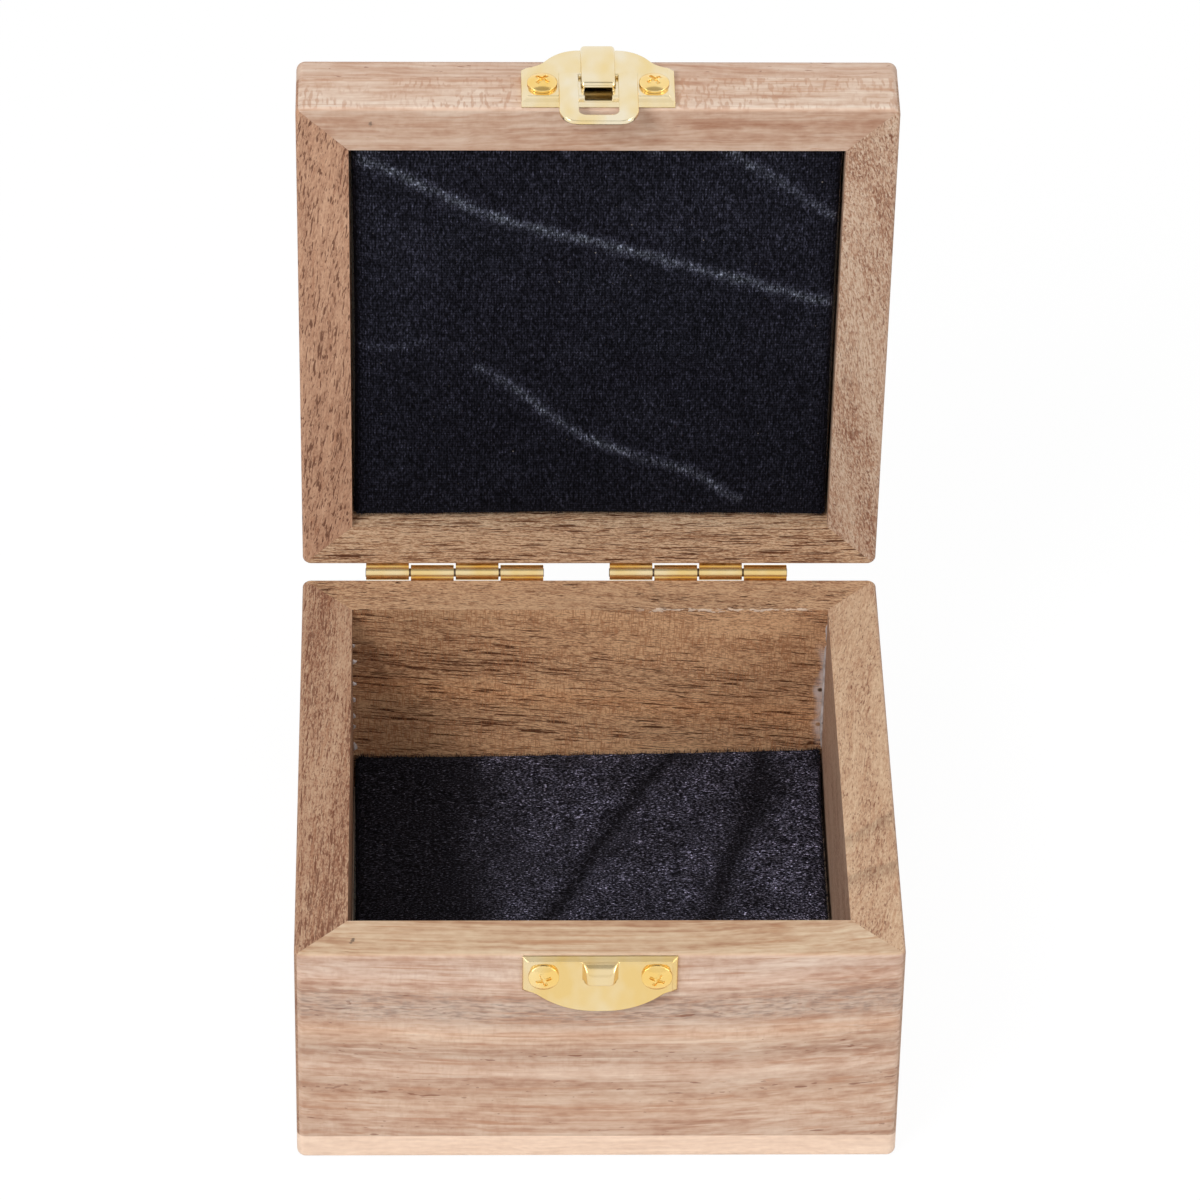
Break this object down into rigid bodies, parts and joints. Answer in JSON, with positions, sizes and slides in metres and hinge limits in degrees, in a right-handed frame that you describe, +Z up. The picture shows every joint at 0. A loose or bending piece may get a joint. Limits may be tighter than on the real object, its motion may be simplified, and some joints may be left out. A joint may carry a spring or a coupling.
{
  "type": "watch box",
  "caption": "Small square hinged wooden box with mitred walls, velvet-padded lid and floor, brass butt hinges on the back and a swing-lever clasp on the front",
  "frame": {"origin": "centre of the base's underside, on the surface the box stands on", "axes": "+Z up, -Y out of the front where the clasp is, +X to the right seen from the front; stored with the lid open as in the picture"},
  "size_m": [0.107, 0.1272, 0.1614],
  "materials": {
    "walnut": "satin",
    "pale_wood": "satin",
    "lining_board": "matte",
    "velvet": "velvet pile",
    "clasp_brass": "polished",
    "hinge_brass": "brushed",
    "screw_brass": "polished"
  },
  "bodies": {
    "base": {"base_front_wall": "walnut", "base_right_wall": "walnut", "base_back_wall": "walnut", "base_left_wall": "walnut", "bottom_board": "pale_wood", "floor_pad_board": "lining_board", "floor_velvet_pad": "velvet", "keeper_plate": "clasp_brass", "keeper_screws": "screw_brass", "left_hinge_base_leaf": "hinge_brass", "right_hinge_base_leaf": "hinge_brass", "left_hinge_pin": "hinge_brass", "right_hinge_pin": "hinge_brass", "hinge_base_screws": "screw_brass"},
    "lid": {"lid_front_rail": "walnut", "lid_right_rail": "walnut", "lid_back_rail": "walnut", "lid_left_rail": "walnut", "lid_panel": "walnut", "lid_pad_board": "lining_board", "lid_velvet_pad": "velvet", "clasp_plate": "clasp_brass", "clasp_screws": "screw_brass", "left_hinge_lid_leaf": "hinge_brass", "right_hinge_lid_leaf": "hinge_brass", "hinge_lid_screws": "screw_brass"},
    "lever": {"clasp_lever": "clasp_brass"}
  },
  "joints": [
    {"name": "lid_hinge", "type": "hinge", "parent": "base", "child": "lid", "pos_m": [0, 0.05525, 0.0482], "axis": [1, 0, 0], "range_deg": [0, 86.5]},
    {"name": "lever_swing", "type": "hinge", "parent": "lid", "child": "lever", "pos_m": [0, 0.05493, 0.15984], "axis": [-1, 0, 0], "range_deg": [0, 110]}
  ]
}
